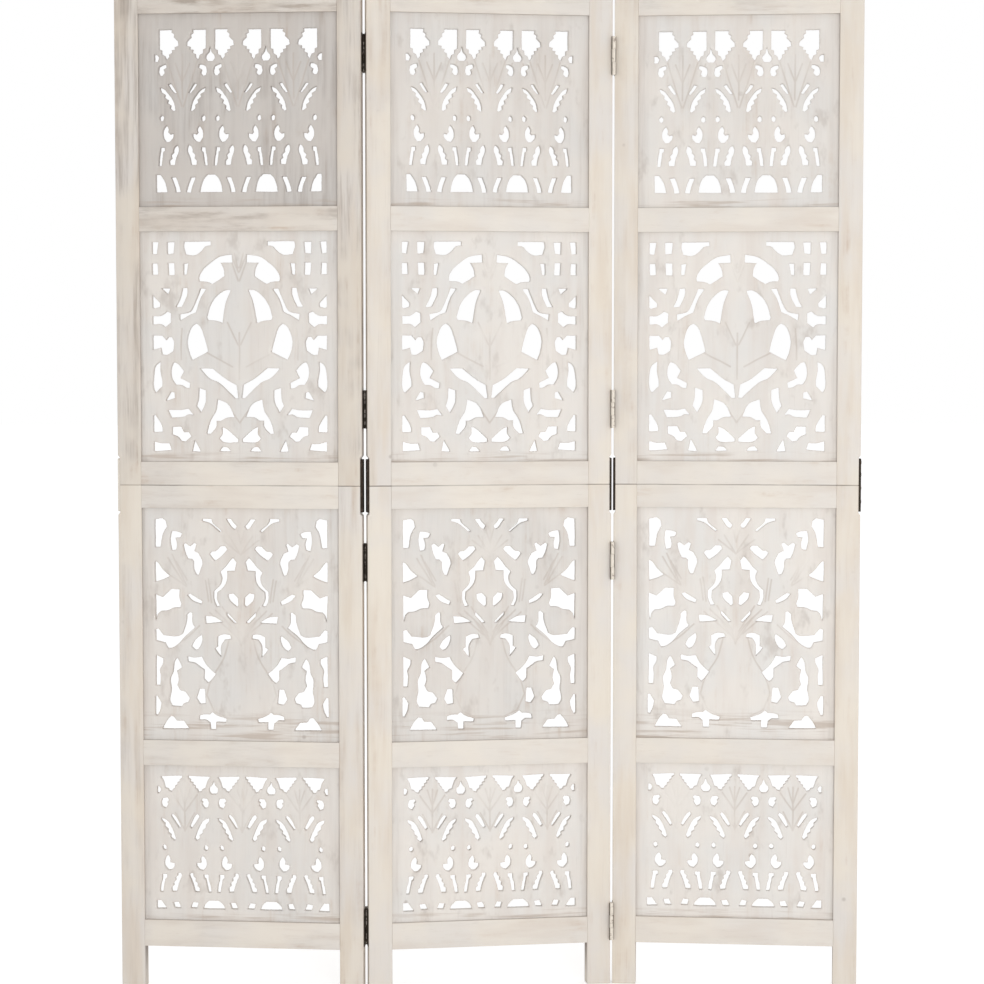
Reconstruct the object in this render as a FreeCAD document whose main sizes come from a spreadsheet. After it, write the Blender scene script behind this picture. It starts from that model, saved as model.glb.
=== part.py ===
import FreeCAD, Part
import os
import Sketcher
from FreeCAD import Placement, Rotation, Vector

# Carved jali folding screen of three columns, in millimetres.
# +Z is up, +X runs along the screen and -Y is the front.
# The origin is on the floor, below the middle of the centre column.
# Each column is an upper and a lower frame, butted at mid height and held by joining plates.
# Each frame has two stiles and three rails, with a pierced board in a groove in each opening.

os.makedirs("parts", exist_ok=True)
doc = FreeCAD.newDocument("JaliScreen")

driving_sizes = [
    ("column_width", 400, "width of one column"),
    ("column_gap", 2.3, "gap between two columns when the screen is flat"),
    ("rest_turn", 7, "degrees that each column is turned from the line of the screen"),
    ("frame_thickness", 25, "thickness of stiles and rails"),
    ("stile_width", 38.5, "width of a stile"),
    ("leg_height", 70, "stile below the bottom rail"),
    ("bottom_rail_height", 43, "bottom rail of the lower frame"),
    ("short_frieze_opening", 256, "opening of the short bud frieze"),
    ("lower_mid_rail_height", 41, "middle rail of the lower frame"),
    ("vase_opening", 380, "opening of the vase board"),
    ("lower_seam_rail_height", 37, "top rail of the lower frame"),
    ("upper_seam_rail_height", 38, "bottom rail of the upper frame"),
    ("arch_opening", 372, "opening of the arch board"),
    ("upper_mid_rail_height", 39, "middle rail of the upper frame"),
    ("tall_frieze_opening", 309, "opening of the tall bud frieze"),
    ("top_rail_height", 43, "top rail of the upper frame"),
    ("board_thickness", 12, "thickness of a pierced board"),
    ("groove_depth", 8, "depth of the groove round each opening"),
    ("groove_clearance", 0.2, "play on each side of a board or tongue in its groove"),
    ("board_play", 1, "room for a board to swell at the floor of its groove"),
    ("notch_depth", 3, "depth of the notch for a joining plate"),
    ("notch_clearance", 2, "between the end of a joining plate and the end of its notch"),
    ("notch_ramp", 3, "sloped end of the notch"),
    ("plate_thickness", 3, "joining plate, flush with the stile's edge"),
    ("plate_width", 20, "joining plate"),
    ("plate_length", 86, "joining plate"),
    ("hinge_length", 62, "butt hinge along its pin"),
    ("leaf_width", 20, "hinge leaf across the stile's edge"),
    ("leaf_thickness", 1, "hinge leaf"),
    ("knuckle_radius", 3.75, "outside of a hinge knuckle"),
    ("pin_radius", 1.95, "hinge pin"),
    ("pin_clearance", 0.05, "between a pin and its knuckles"),
    ("pin_offset", 4, "hinge axis from the face of the stiles"),
    ("knuckle_gap", 0.3, "between two knuckles, and between a knuckle and the other leaf"),
    ("bottom_hinge_height", 105, "middle of the lowest hinge above the floor"),
    ("hinge_below_seam", 125, "middle of the second hinge below the seam"),
    ("hinge_above_seam", 123, "middle of the third hinge above the seam"),
    ("top_hinge_drop", 107, "middle of the top hinge below the top"),
    ("cut_overrun", 1, "how far a cut runs past the face that it opens"),
]

# Sizes and heights that follow from the driving ones.
worked_out_sizes = [
    ("opening_width", "=Sizes.column_width - 2 * Sizes.stile_width"),
    ("groove_width", "=Sizes.board_thickness + 2 * Sizes.groove_clearance"),
    ("board_entry", "=Sizes.groove_depth - Sizes.board_play"),
    ("tongue_length", "=Sizes.groove_depth - Sizes.groove_clearance"),
    ("bottom_rail_base", "=Sizes.leg_height"),
    ("short_frieze_base", "=bottom_rail_base + Sizes.bottom_rail_height"),
    ("lower_mid_rail_base", "=short_frieze_base + Sizes.short_frieze_opening"),
    ("vase_base", "=lower_mid_rail_base + Sizes.lower_mid_rail_height"),
    ("lower_seam_rail_base", "=vase_base + Sizes.vase_opening"),
    ("upper_seam_rail_base", "=lower_seam_rail_base + Sizes.lower_seam_rail_height"),
    ("arch_base", "=upper_seam_rail_base + Sizes.upper_seam_rail_height"),
    ("upper_mid_rail_base", "=arch_base + Sizes.arch_opening"),
    ("tall_frieze_base", "=upper_mid_rail_base + Sizes.upper_mid_rail_height"),
    ("top_rail_base", "=tall_frieze_base + Sizes.tall_frieze_opening"),
    ("screen_height", "=top_rail_base + Sizes.top_rail_height"),
    ("notch_length", "=Sizes.plate_length / 2 + Sizes.notch_clearance"),
    ("knuckle_length", "=(Sizes.hinge_length - 2 * Sizes.knuckle_gap) / 3"),
    ("bore_radius", "=Sizes.pin_radius + Sizes.pin_clearance"),
    ("bore_corner", "=bore_radius / cos(22.5 deg)"),
    ("hinge_height_1", "=Sizes.bottom_hinge_height"),
    ("hinge_height_2", "=upper_seam_rail_base - Sizes.hinge_below_seam"),
    ("hinge_height_3", "=upper_seam_rail_base + Sizes.hinge_above_seam"),
    ("hinge_height_4", "=screen_height - Sizes.top_hinge_drop"),
    ("column_pitch", "=(Sizes.column_width + Sizes.column_gap) * cos(Sizes.rest_turn * 1 deg)"
                     " + (Sizes.frame_thickness + 2 * Sizes.pin_offset) * sin(Sizes.rest_turn * 1 deg)"),
]

sizes = doc.addObject("Spreadsheet::Sheet", "Sizes")
for row, (alias, number, meaning) in enumerate(driving_sizes, start=1):
    sizes.set(f"A{row}", meaning)
    sizes.set(f"B{row}", str(number))
    sizes.setAlias(f"B{row}", alias)
doc.recompute()
worked = doc.addObject("Spreadsheet::Sheet", "Worked")
for row, (alias, formula) in enumerate(worked_out_sizes, start=1):
    worked.set(f"A{row}", formula)
    worked.setAlias(f"A{row}", alias)
    doc.recompute()


def size(name):
    sheet = worked if worked.getCellFromAlias(name) else sizes
    return float(sheet.get(name))


# Pierced outlines, as shares of the opening's width and height, named by what they lie beside.
# Across is measured outwards from an axis of symmetry, up from the foot of the opening.
arch_shares = {
    "crossed_leaves_corner": [(0.440, 0.906), (0.414, 0.906), (0.414, 0.953), (0.440, 0.953)],
    "crossed_leaves_top": [(0.362, 0.905), (0.330, 0.905), (0.330, 0.953), (0.362, 0.953)],
    "crossed_leaves_side": [(0.440, 0.815), (0.414, 0.815), (0.414, 0.862), (0.440, 0.862)],
    "crossed_leaves_inner": [(0.361, 0.813), (0.330, 0.813), (0.330, 0.863), (0.361, 0.863)],
    "arch_top": [(0.279, 0.954), (0.146, 0.954), (0.220, 0.900), (0.274, 0.902)],
    "crown": [(0.036, 0.900), (0.086, 0.862), (0.082, 0.794), (0.203, 0.784), (0.140, 0.878)],
    "arch_band_top": [(0.288, 0.753), (0.264, 0.753), (0.292, 0.676), (0.321, 0.676)],
    "arch_band": [(0.196, 0.752), (0.170, 0.750), (0.222, 0.650), (0.303, 0.626)],
    "bud_shoulder": [(0.045, 0.744), (0.088, 0.604), (0.166, 0.620), (0.130, 0.708)],
    "side_leaf_top": [(0.440, 0.632), (0.352, 0.650), (0.354, 0.592), (0.440, 0.599)],
    "side_leaf": [(0.440, 0.548), (0.338, 0.534), (0.376, 0.466), (0.440, 0.489)],
    "lotus_side": [(0.210, 0.600), (0.162, 0.480), (0.242, 0.444), (0.264, 0.528)],
    "side_bud_outer": [(0.402, 0.434), (0.438, 0.390), (0.432, 0.302), (0.396, 0.338)],
    "side_bud_inner": [(0.334, 0.433), (0.288, 0.396), (0.254, 0.331), (0.340, 0.350)],
    "lotus_foot": [(0.200, 0.404), (0.138, 0.405), (0.014, 0.318), (0.112, 0.342)],
    "stalk_outer": [(0.207, 0.320), (0.173, 0.308), (0.200, 0.216), (0.221, 0.244)],
    "stalk_inner": [(0.112, 0.270), (0.030, 0.210), (0.098, 0.181), (0.162, 0.123)],
    "low_leaf_top": [(0.366, 0.224), (0.260, 0.228), (0.242, 0.206), (0.350, 0.193)],
    "low_leaf_side": [(0.438, 0.204), (0.394, 0.132), (0.440, 0.131)],
    "low_leaf_inner": [(0.344, 0.150), (0.300, 0.150), (0.252, 0.118), (0.290, 0.089)],
    "arch_foot": [(0.092, 0.152), (0.010, 0.090), (0.098, 0.092)],
    "low_corner": [(0.438, 0.086), (0.362, 0.078), (0.352, 0.052), (0.438, 0.047)],
}

vase_shares = {
    "corner": [(0.437, 0.950), (0.384, 0.944), (0.410, 0.832), (0.437, 0.831)],
    "top_flower_side": [(0.356, 0.898), (0.303, 0.888), (0.332, 0.872), (0.344, 0.819)],
    "top_flower_foot": [(0.292, 0.842), (0.234, 0.846), (0.199, 0.760), (0.224, 0.714)],
    "middle_flower_side": [(0.160, 0.802), (0.074, 0.832), (0.134, 0.775)],
    "top_leaf": [(0.195, 0.951), (0.150, 0.951), (0.098, 0.900)],
    "middle_stem": [(0.040, 0.786), (0.026, 0.750), (0.072, 0.726), (0.123, 0.638), (0.112, 0.579),
                    (0.138, 0.640), (0.100, 0.724)],
    "side_leaf_tip": [(0.438, 0.768), (0.366, 0.708), (0.437, 0.683)],
    "side_flower_top": [(0.438, 0.626), (0.320, 0.652), (0.308, 0.572), (0.436, 0.530)],
    "middle_leaf": [(0.064, 0.630), (0.022, 0.620), (0.020, 0.578), (0.060, 0.606)],
    "vase_mouth": [(0.185, 0.535), (0.098, 0.510), (0.182, 0.504)],
    "side_flower_foot": [(0.438, 0.476), (0.304, 0.450), (0.256, 0.551), (0.238, 0.487), (0.368, 0.394),
                         (0.437, 0.428)],
    "vase_shoulder": [(0.202, 0.452), (0.228, 0.391), (0.253, 0.404)],
    "vase_collar": [(0.120, 0.446), (0.056, 0.454), (0.090, 0.434), (0.104, 0.362), (0.134, 0.394)],
    "low_side": [(0.437, 0.364), (0.400, 0.350), (0.436, 0.232)],
    "spray_outer": [(0.328, 0.354), (0.326, 0.222), (0.268, 0.180), (0.358, 0.146), (0.364, 0.264)],
    "spray_inner": [(0.276, 0.354), (0.204, 0.358), (0.134, 0.288), (0.171, 0.249), (0.192, 0.304)],
    "spray_foot": [(0.212, 0.220), (0.188, 0.220), (0.188, 0.158), (0.230, 0.180)],
    "low_leaf": [(0.356, 0.104), (0.272, 0.048), (0.406, 0.048)],
    "vase_foot": [(0.150, 0.120), (0.080, 0.086), (0.147, 0.048), (0.216, 0.096)],
}

# The tall frieze: three buds side by side, a drop and a low arch between them.
tall_bud_shares = {
    "tip": [(0.117, 0.918), (0.052, 0.918), (0.018, 0.850), (0.078, 0.768)],
    "petal_slit": [(0.122, 0.624), (0.086, 0.602), (0.046, 0.498)],
    "heart": [(0.097, 0.384), (0.076, 0.412), (0.045, 0.368), (0.070, 0.338)],
    "outer_slit": [(0.112, 0.306), (0.090, 0.304), (0.107, 0.216), (0.121, 0.218)],
    "inner_slit": [(0.037, 0.316), (0.020, 0.318), (0.042, 0.222), (0.066, 0.222)],
    "foot_slit": [(0.059, 0.155), (0.035, 0.155), (0.014, 0.080), (0.039, 0.080)],
}
tall_between_shares = {
    "drop": [(0.000, 0.828), (0.022, 0.758), (-0.022, 0.758)],
    "low_arch": [(0.056, 0.080), (0.032, 0.162), (-0.032, 0.162), (-0.056, 0.080)],
}
tall_end_shares = {
    "half_arch": [(0.000, 0.080), (-0.056, 0.080), (-0.032, 0.162), (0.000, 0.162)],
}
tall_bud_pitch_share = 0.280

# The short frieze has the same buds, squeezed into less height.
short_bud_shares = {
    "tip": [(0.126, 0.920), (0.018, 0.926), (0.056, 0.850), (0.084, 0.824)],
    "petal_slit": [(0.126, 0.650), (0.094, 0.628), (0.052, 0.509)],
    "heart": [(0.110, 0.362), (0.088, 0.402), (0.054, 0.358), (0.080, 0.322)],
    "outer_slit": [(0.117, 0.284), (0.094, 0.284), (0.116, 0.177), (0.130, 0.178)],
    "inner_slit": [(0.040, 0.298), (0.020, 0.298), (0.050, 0.182), (0.072, 0.182)],
    "foot_slit": [(0.064, 0.108), (0.038, 0.112), (0.026, 0.076), (0.056, 0.074)],
}
short_between_shares = {
    "drop": [(0.000, 0.892), (0.020, 0.814), (-0.020, 0.814)],
    "low_arch": [(0.056, 0.073), (0.030, 0.121), (-0.030, 0.121), (-0.056, 0.073)],
}
short_end_shares = {
    "half_arch": [(0.000, 0.073), (-0.052, 0.073), (-0.026, 0.120), (0.000, 0.120)],
}
short_bud_pitch_share = 0.294


def shifted(outline, across_share):
    return [(across + across_share, up) for across, up in outline]


def turned_over(outline):
    return [(-across, up) for across, up in outline]


def frieze_half(bud, between, ends, pitch_share):
    """Outlines of one half of a frieze: half the middle bud, and all of the outer one."""
    outlines = list(bud.values())
    for outline in bud.values():
        outlines.append(shifted(outline, pitch_share))
        outlines.append(shifted(turned_over(outline), pitch_share))
    for outline in between.values():
        outlines.append(shifted(outline, pitch_share / 2))
    for outline in ends.values():
        outlines.append(shifted(outline, pitch_share * 3 / 2))
    return outlines


# Sketches, pads and cuts.

def origin_plane(body, role):
    for feature in body.Origin.OriginFeatures:
        if feature.Role == role:
            return feature
    raise ValueError(role)


def new_body(name):
    body = doc.addObject("PartDesign::Body", name)
    body.Label = name
    return body


def new_sketch(body, name, role, offset=None):
    sketch = body.newObject("Sketcher::SketchObject", name)
    sketch.AttachmentSupport = (origin_plane(body, role), "")
    sketch.MapMode = "FlatFace"
    if offset:
        sketch.setExpression("AttachmentOffset.Base.z", offset)
    return sketch


def draw_loop(sketch, points):
    """Closed loop of straight edges through plain points."""
    first = sketch.GeometryCount
    vectors = [Vector(across, up, 0) for across, up in points]
    following = vectors[1:] + vectors[:1]
    sketch.addGeometry([Part.LineSegment(a, b) for a, b in zip(vectors, following)], False)
    return first


def draw_bound_loop(sketch, corners):
    """Closed loop whose corners are pairs of expressions, each bound to a dimension."""
    points = [(float(sketch.evalExpression(a)), float(sketch.evalExpression(b))) for a, b in corners]
    first = draw_loop(sketch, points)
    for index, (across, up) in enumerate(corners):
        line = first + index
        following = first + (index + 1) % len(corners)
        sketch.addConstraint(Sketcher.Constraint("Coincident", line, 2, following, 1))
        for kind, expression, value in (("DistanceX", across, points[index][0]),
                                        ("DistanceY", up, points[index][1])):
            bound = sketch.addConstraint(Sketcher.Constraint(kind, -1, 1, line, 1, value))
            sketch.setExpression(f"Constraints[{bound}]", expression)


def draw_bound_rectangle(sketch, left, right, bottom, top):
    draw_bound_loop(sketch, [(left, bottom), (right, bottom), (right, top), (left, top)])


def pad(body, name, sketch, length, middle=False, backwards=False):
    feature = body.newObject("PartDesign::Pad", name)
    feature.Profile = sketch
    feature.setExpression("Length", length)
    feature.Midplane = middle
    feature.Reversed = backwards
    return feature


def pocket(body, name, sketch, length, middle=False, backwards=False):
    feature = body.newObject("PartDesign::Pocket", name)
    feature.Profile = sketch
    feature.setExpression("Length", length)
    feature.Midplane = middle
    feature.Reversed = backwards
    return feature


# Where each column stands, and which way it is turned.
columns = {"left": (-1, -1), "centre": (0, 1), "right": (1, -1)}


def stand(body, column):
    """Place a piece that is drawn in its column's own frame."""
    place, turn = columns[column]
    body.Placement = Placement(Vector(0, 0, 0), Rotation(Vector(0, 0, 1), turn))
    body.setExpression("Placement.Base.x", f"{place} * Worked.column_pitch")
    body.setExpression("Placement.Rotation.Angle", f"{turn} * Sizes.rest_turn")


# Frame members.

def stile(column, half, side):
    """Upright with the groove in its inner edge and the plate notch in its outer edge."""
    mirror = {"left": -1, "right": 1}[side]
    lower = half == "lower"
    foot, top = ("0", "Worked.upper_seam_rail_base") if lower else \
        ("Worked.upper_seam_rail_base", "Worked.screen_height")
    groove_foot = "Worked.bottom_rail_base" if lower else f"{foot} - Sizes.cut_overrun"
    seam_way = -1 if lower else 1
    inner = f"{mirror} * Worked.opening_width / 2"
    outer = f"{mirror} * Sizes.column_width / 2"

    body = new_body(f"{column}_{half}_{side}_stile")
    section = new_sketch(body, "Section", "XY_Plane", foot)
    draw_bound_rectangle(section, inner, outer, "-Sizes.frame_thickness / 2", "Sizes.frame_thickness / 2")
    pad(body, "Upright", section, f"{top} - {foot}")

    groove = new_sketch(body, "GrooveOutline", "YZ_Plane", inner)
    draw_bound_rectangle(groove, "-Worked.groove_width / 2", "Worked.groove_width / 2",
                         groove_foot, f"{top} + Sizes.cut_overrun")
    pocket(body, "Groove", groove, "Sizes.groove_depth", backwards=mirror == 1)

    notch = new_sketch(body, "NotchOutline", "XZ_Plane")
    past = f"{outer} + {mirror} * Sizes.cut_overrun"
    floor = f"{outer} - {mirror} * Sizes.notch_depth"
    seam = f"Worked.upper_seam_rail_base - {seam_way} * Sizes.cut_overrun"
    end = f"Worked.upper_seam_rail_base + {seam_way} * Worked.notch_length"
    ramp_end = f"{end} + {seam_way} * Sizes.notch_ramp"
    draw_bound_loop(notch, [(past, seam), (floor, seam), (floor, end), (outer, ramp_end), (past, ramp_end)])
    pocket(body, "PlateNotch", notch, "Sizes.frame_thickness + 2 * Sizes.cut_overrun", middle=True)
    stand(body, column)


def rail(column, name, base, height, groove_below, groove_above):
    """Cross rail with a tongue on each end, grooved on each edge that holds a board."""
    foot = f"Worked.{base}"
    top = f"{foot} + Sizes.{height}"
    face = "Sizes.frame_thickness / 2"
    lip = "Worked.groove_width / 2"
    tongue_face = "Sizes.board_thickness / 2"
    web_foot = f"{foot} + Sizes.groove_depth" if groove_below else foot
    web_top = f"{top} - Sizes.groove_depth" if groove_above else top

    corners = [(f"-{face}", foot)]
    if groove_below:
        corners += [(f"-{lip}", foot), (f"-{lip}", web_foot), (lip, web_foot), (lip, foot)]
    corners += [(face, foot), (face, top)]
    if groove_above:
        corners += [(lip, top), (lip, web_top), (f"-{lip}", web_top), (f"-{lip}", top)]
    corners += [(f"-{face}", top)]

    body = new_body(f"{column}_{name}")
    section = new_sketch(body, "Section", "YZ_Plane")
    draw_bound_loop(section, corners)
    pad(body, "Rail", section, "Worked.opening_width", middle=True)
    tongue = new_sketch(body, "TongueSection", "YZ_Plane")
    draw_bound_rectangle(tongue, f"-{tongue_face}", tongue_face, web_foot, web_top)
    pad(body, "Tongues", tongue, "Worked.opening_width + 2 * Worked.tongue_length", middle=True)
    stand(body, column)


# Pierced boards.

def pierced_board(column, name, base, opening, half_outlines):
    """Board held on all four edges, each outline pierced on both sides of its middle."""
    foot = f"Worked.{base} - Worked.board_entry"
    top = f"Worked.{base} + Sizes.{opening} + Worked.board_entry"
    side = "(Worked.opening_width / 2 + Worked.board_entry)"

    body = new_body(f"{column}_{name}")
    outline = new_sketch(body, "BoardOutline", "XZ_Plane")
    draw_bound_rectangle(outline, f"-{side}", side, foot, top)
    for half_outline in half_outlines:
        for shares in (half_outline, turned_over(half_outline)):
            draw_loop(outline, [(across * size("opening_width"), size(base) + up * size(opening))
                                for across, up in shares])
    pad(body, "Board", outline, "Sizes.board_thickness", middle=True)
    stand(body, column)


# Joining plates, one in the notches on each side of the column.

def joining_plates(column):
    body = new_body(f"{column}_joining_plates")
    body.AllowCompound = True
    seam = "Worked.upper_seam_rail_base"
    outline = new_sketch(body, "PlateOutline", "YZ_Plane", "Sizes.column_width / 2 - Sizes.notch_depth")
    draw_bound_rectangle(outline, "-Sizes.plate_width / 2", "Sizes.plate_width / 2",
                         f"{seam} - Sizes.plate_length / 2", f"{seam} + Sizes.plate_length / 2")
    plate = pad(body, "RightPlate", outline, "Sizes.plate_thickness")
    mirrored = body.newObject("PartDesign::Mirrored", "LeftPlate")
    mirrored.Originals = [plate]
    mirrored.MirrorPlane = (origin_plane(body, "YZ_Plane"), [""])
    body.Tip = mirrored
    stand(body, column)


# Butt hinges: four on each joint, leaves flat on the stiles' edges, pins proud of one face.

hinge_heights = ["hinge_height_1", "hinge_height_2", "hinge_height_3", "hinge_height_4"]
full_turn = 360
barrel_sides = 8
outer_knuckles = (-1, 1)
middle_knuckle = (0,)


def knuckle_spans(places):
    """Foot and head of the knuckles at these places, counted from the middle of each hinge."""
    step = "(Worked.knuckle_length + Sizes.knuckle_gap)"
    middles = [f"Worked.{height} + {place} * {step}" for height in hinge_heights for place in places]
    return [(f"{middle} - Worked.knuckle_length / 2", f"{middle} + Worked.knuckle_length / 2")
            for middle in middles]


def hinge_spans():
    return [(f"Worked.{height} - Sizes.hinge_length / 2", f"Worked.{height} + Sizes.hinge_length / 2")
            for height in hinge_heights]


def draw_round(sketch, axis_across, axis_up, radius):
    middle = Vector(float(sketch.evalExpression(axis_across)), float(sketch.evalExpression(axis_up)), 0)
    plain_radius = float(sketch.evalExpression(radius))
    ring = sketch.addGeometry(Part.Circle(middle, Vector(0, 0, 1), plain_radius), False)
    for kind, expression, value in (("DistanceX", axis_across, middle.x), ("DistanceY", axis_up, middle.y)):
        bound = sketch.addConstraint(Sketcher.Constraint(kind, -1, 1, ring, 3, value))
        sketch.setExpression(f"Constraints[{bound}]", expression)
    bound = sketch.addConstraint(Sketcher.Constraint("Radius", ring, plain_radius))
    sketch.setExpression(f"Constraints[{bound}]", radius)


def draw_barrel(sketch, axis_across, axis_up, radius):
    """Many-sided outline of a knuckle, light enough to be repeated on eight hinges."""
    corners = []
    for corner in range(barrel_sides):
        angle = f"{(corner + 0.5) * full_turn / barrel_sides} deg"
        corners.append((f"{axis_across} + {radius} * cos({angle})", f"{axis_up} + {radius} * sin({angle})"))
    draw_bound_loop(sketch, corners)


def bars_on_axis(body, name, axis_across, axis_up, draw, radii, spans):
    """Upright bar or tube on a hinge axis, cut away except over the spans."""
    section = new_sketch(body, f"{name}Section", "XY_Plane")
    for radius in radii:
        draw(section, axis_across, axis_up, radius)
    pad(body, f"{name}Stock", section, "Worked.screen_height")

    around = "(Sizes.knuckle_radius + Sizes.cut_overrun)"
    gaps = new_sketch(body, f"{name}Gaps", "YZ_Plane", axis_across)
    low = "-Sizes.cut_overrun"
    for foot, head in spans + [("Worked.screen_height + Sizes.cut_overrun", "")]:
        draw_bound_rectangle(gaps, f"{axis_up} - {around}", f"{axis_up} + {around}", low, foot)
        low = head
    pocket(body, name, gaps, f"2 * {around}", middle=True)


def hinge_leaves(name, column, edge, face, knuckle_places):
    """The four leaves on one edge of a column, with their knuckles."""
    axis_across = f"{edge} * (Sizes.column_width + Sizes.column_gap) / 2"
    axis_up = f"{face} * (Sizes.frame_thickness / 2 + Sizes.pin_offset)"
    far = f"{face} * (Sizes.frame_thickness / 2 - Sizes.leaf_width)"
    near = f"{axis_up} - {face} * (Sizes.knuckle_radius + Sizes.knuckle_gap)"
    in_knuckle = f"{axis_up} - {face} * (Sizes.knuckle_radius + Worked.bore_radius) / 2"

    body = new_body(name)
    body.AllowCompound = True
    spans = knuckle_spans(knuckle_places)
    bars_on_axis(body, "Knuckles", axis_across, axis_up, draw_barrel,
                 ["Sizes.knuckle_radius", "Worked.bore_corner"], spans)
    for feature, line, stretches in (("Leaves", near, hinge_spans()), ("KnuckleRoots", in_knuckle, spans)):
        outline = new_sketch(body, f"{feature}Outline", "YZ_Plane", f"{edge} * Sizes.column_width / 2")
        for foot, head in stretches:
            draw_bound_rectangle(outline, far, line, foot, head)
        pad(body, feature, outline, "Sizes.leaf_thickness", backwards=edge == -1)
    stand(body, column)


def hinge_pins(name, column, edge, face):
    """The four pins of one joint, carried by the column with the outer knuckles."""
    body = new_body(name)
    body.AllowCompound = True
    axis_across = f"{edge} * (Sizes.column_width + Sizes.column_gap) / 2"
    axis_up = f"{face} * (Sizes.frame_thickness / 2 + Sizes.pin_offset)"
    bars_on_axis(body, "Pins", axis_across, axis_up, draw_round, ["Sizes.pin_radius"], hinge_spans())
    stand(body, column)


# The whole screen.

tall_frieze_half = frieze_half(tall_bud_shares, tall_between_shares, tall_end_shares,
                               tall_bud_pitch_share)
short_frieze_half = frieze_half(short_bud_shares, short_between_shares, short_end_shares,
                                short_bud_pitch_share)

for column in columns:
    for half in ("upper", "lower"):
        for side in ("left", "right"):
            stile(column, half, side)
    rail(column, "top_rail", "top_rail_base", "top_rail_height", True, False)
    rail(column, "upper_mid_rail", "upper_mid_rail_base", "upper_mid_rail_height", True, True)
    rail(column, "upper_seam_rail", "upper_seam_rail_base", "upper_seam_rail_height", False, True)
    rail(column, "lower_seam_rail", "lower_seam_rail_base", "lower_seam_rail_height", True, False)
    rail(column, "lower_mid_rail", "lower_mid_rail_base", "lower_mid_rail_height", True, True)
    rail(column, "bottom_rail", "bottom_rail_base", "bottom_rail_height", False, True)
    pierced_board(column, "tall_bud_frieze", "tall_frieze_base", "tall_frieze_opening", tall_frieze_half)
    pierced_board(column, "arch_board", "arch_base", "arch_opening", arch_shares.values())
    pierced_board(column, "vase_board", "vase_base", "vase_opening", vase_shares.values())
    pierced_board(column, "short_bud_frieze", "short_frieze_base", "short_frieze_opening",
                  short_frieze_half)
    joining_plates(column)

# The left joint has its pins on the back, the right joint on the front.
hinge_leaves("left_joint_left_leaves", "left", 1, 1, middle_knuckle)
hinge_leaves("left_joint_centre_leaves", "centre", -1, 1, outer_knuckles)
hinge_pins("left_joint_pins", "centre", -1, 1)
hinge_leaves("right_joint_right_leaves", "right", -1, -1, middle_knuckle)
hinge_leaves("right_joint_centre_leaves", "centre", 1, -1, outer_knuckles)
hinge_pins("right_joint_pins", "centre", 1, -1)

# Check everything, then write one file for each piece.

doc.recompute()
for item in doc.Objects:
    if "Invalid" in item.State or "Error" in item.State:
        raise RuntimeError(f"{item.Label} failed: {item.State}")

for cut in [item for item in doc.Objects if item.TypeId == "PartDesign::Pocket"]:
    if not cut.Shape.Volume < cut.BaseFeature.Shape.Volume:
        raise RuntimeError(f"{cut.Label} cuts nothing")

bodies = [item for item in doc.Objects if item.TypeId == "PartDesign::Body"]
for body in bodies:
    if body.Shape.isNull() or not body.Shape.isValid():
        raise RuntimeError(f"{body.Label} has no sound shape")

for body in bodies:
    body.Shape.exportStep(f"parts/{body.Label}.step")
print(len(bodies), "pieces,", sum(len(body.Shape.Solids) for body in bodies), "solids")
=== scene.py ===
import math
import random

import bmesh
import bpy
import numpy as np
from mathutils import Matrix, Vector, kdtree, noise
from mathutils.geometry import delaunay_2d_cdt


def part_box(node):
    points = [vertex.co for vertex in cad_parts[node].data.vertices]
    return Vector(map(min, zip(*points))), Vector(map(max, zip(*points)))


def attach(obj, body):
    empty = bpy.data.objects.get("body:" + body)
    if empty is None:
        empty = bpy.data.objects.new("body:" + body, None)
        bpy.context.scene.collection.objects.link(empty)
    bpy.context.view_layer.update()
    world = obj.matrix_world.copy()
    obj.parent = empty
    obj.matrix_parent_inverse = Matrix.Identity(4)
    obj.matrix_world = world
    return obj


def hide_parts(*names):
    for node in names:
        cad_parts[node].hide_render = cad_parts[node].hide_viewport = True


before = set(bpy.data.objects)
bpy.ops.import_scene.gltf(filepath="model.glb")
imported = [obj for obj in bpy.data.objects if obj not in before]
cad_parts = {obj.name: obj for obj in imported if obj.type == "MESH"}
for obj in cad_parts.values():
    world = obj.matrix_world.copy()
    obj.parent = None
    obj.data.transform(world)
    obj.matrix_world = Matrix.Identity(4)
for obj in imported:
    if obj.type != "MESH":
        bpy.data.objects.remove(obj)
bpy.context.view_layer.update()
seam_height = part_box("centre_lower_seam_rail")[1].z

# Sizes of the screen, in metres, as the solids have them.
column_width = 0.400
column_gap = 0.0023
frame_thickness = 0.025
stile_width = 0.0385
opening_width = column_width - 2 * stile_width
board_thickness = 0.012
board_entry = 0.007
rest_turn = math.radians(7)
hinge_length = 0.062
leaf_width = 0.020
leaf_thickness = 0.001
knuckle_radius = 0.00375
knuckle_gap = 0.0003
knuckle_length = (hinge_length - 2 * knuckle_gap) / 3
pin_bore = 0.0020
pin_offset = 0.004
notch_depth = 0.003
plate_thickness = 0.003
plate_width = 0.020
plate_length = 0.086

# Frames and steelwork, in metres. A screw's height is from the middle of its plate or leaf, and the screws
# of neighbouring plates are staggered, so that their heads pass each other in the gap.
frame_easing = 0.0012
groove_reach = 0.0078
plate_proud = 0.00095
plate_corner = 0.003
plate_easing = 0.0004
plate_screw_radius = 0.0042
outer_head_height = 0.0012
facing_head_height = 0.00035
head_sinking = 0.0001
centre_screw_heights = (-0.037, -0.015, 0.007, 0.029)
side_screw_heights = (-0.027, -0.005, 0.017, 0.037)
leaf_corner = 0.003
leaf_easing = 0.0002
leaf_screw_radius = 0.0032
leaf_head_height = 0.00012
leaf_screw_heights = (-0.022, 0, 0.022)
leaf_inset_shares = (0.4, 0.62, 0.4)
knuckle_easing = 0.0004
tongue_easing = 0.0001
tongue_overlap = 0.001

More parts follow.
